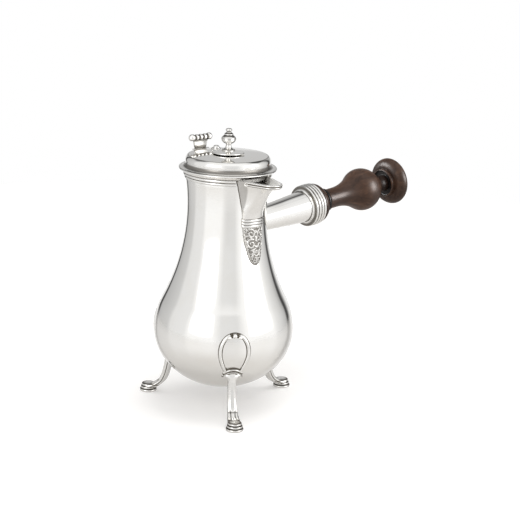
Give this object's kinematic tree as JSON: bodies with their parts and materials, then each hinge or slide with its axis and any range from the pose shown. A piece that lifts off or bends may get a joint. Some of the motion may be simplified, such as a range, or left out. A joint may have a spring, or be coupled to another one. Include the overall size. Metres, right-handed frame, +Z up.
{
  "type": "chocolate pot",
  "caption": "Pear-shaped silver chocolate pot on three scroll legs, with a beak spout, a turned wooden side handle, and a hinged cover whose finial plate swings off the whisk hole.",
  "frame": {"origin": "on the vessel's axis, at the height of the surface that the three feet stand on", "axes": "+Z up along the vessel's axis, +X towards the handle, -Y towards the spout, +Y towards the cover's hinge"},
  "size_m": [0.2591, 0.1342, 0.24],
  "materials": {
    "polished_silver": "polished",
    "chased_silver": "chased, with dark recesses",
    "turned_wood": "waxed"
  },
  "bodies": {
    "pot": {"vessel": "polished_silver", "rim_moulding": "polished_silver", "spout_beak": "polished_silver", "spout_lip_wire": "polished_silver", "spout_band": "polished_silver", "spout_drop": "chased_silver", "hinge_bracket": "polished_silver", "hinge_pin": "polished_silver", "handle_socket": "polished_silver", "socket_collar": "polished_silver", "handle_pin": "polished_silver", "leg_under_handle": "polished_silver", "leg_back": "polished_silver", "leg_front": "polished_silver", "leg_cartouche_under_handle": "polished_silver", "leg_cartouche_back": "polished_silver", "leg_cartouche_front": "polished_silver", "turned_handle": "turned_wood"},
    "cover": {"cover_dome": "polished_silver", "cover_flange": "polished_silver", "cover_bezel": "polished_silver", "cover_hinge_leaf": "polished_silver", "thumbpiece": "polished_silver", "thumb_beads": "polished_silver", "swivel_rivet": "polished_silver", "pivot_washer": "polished_silver"},
    "cap": {"swivel_plate": "polished_silver", "finial": "polished_silver"}
  },
  "joints": [
    {"name": "cover_hinge", "type": "hinge", "parent": "pot", "child": "cover", "pos_m": [0, 0.0367, 0.2136], "axis": [-1, 0, 0], "range_deg": [0, 110]},
    {"name": "cap_swivel", "type": "hinge", "parent": "cover", "child": "cap", "pos_m": [0, 0.016, 0.2194], "axis": [0, 0, 1], "range_deg": [-95, 95]}
  ]
}
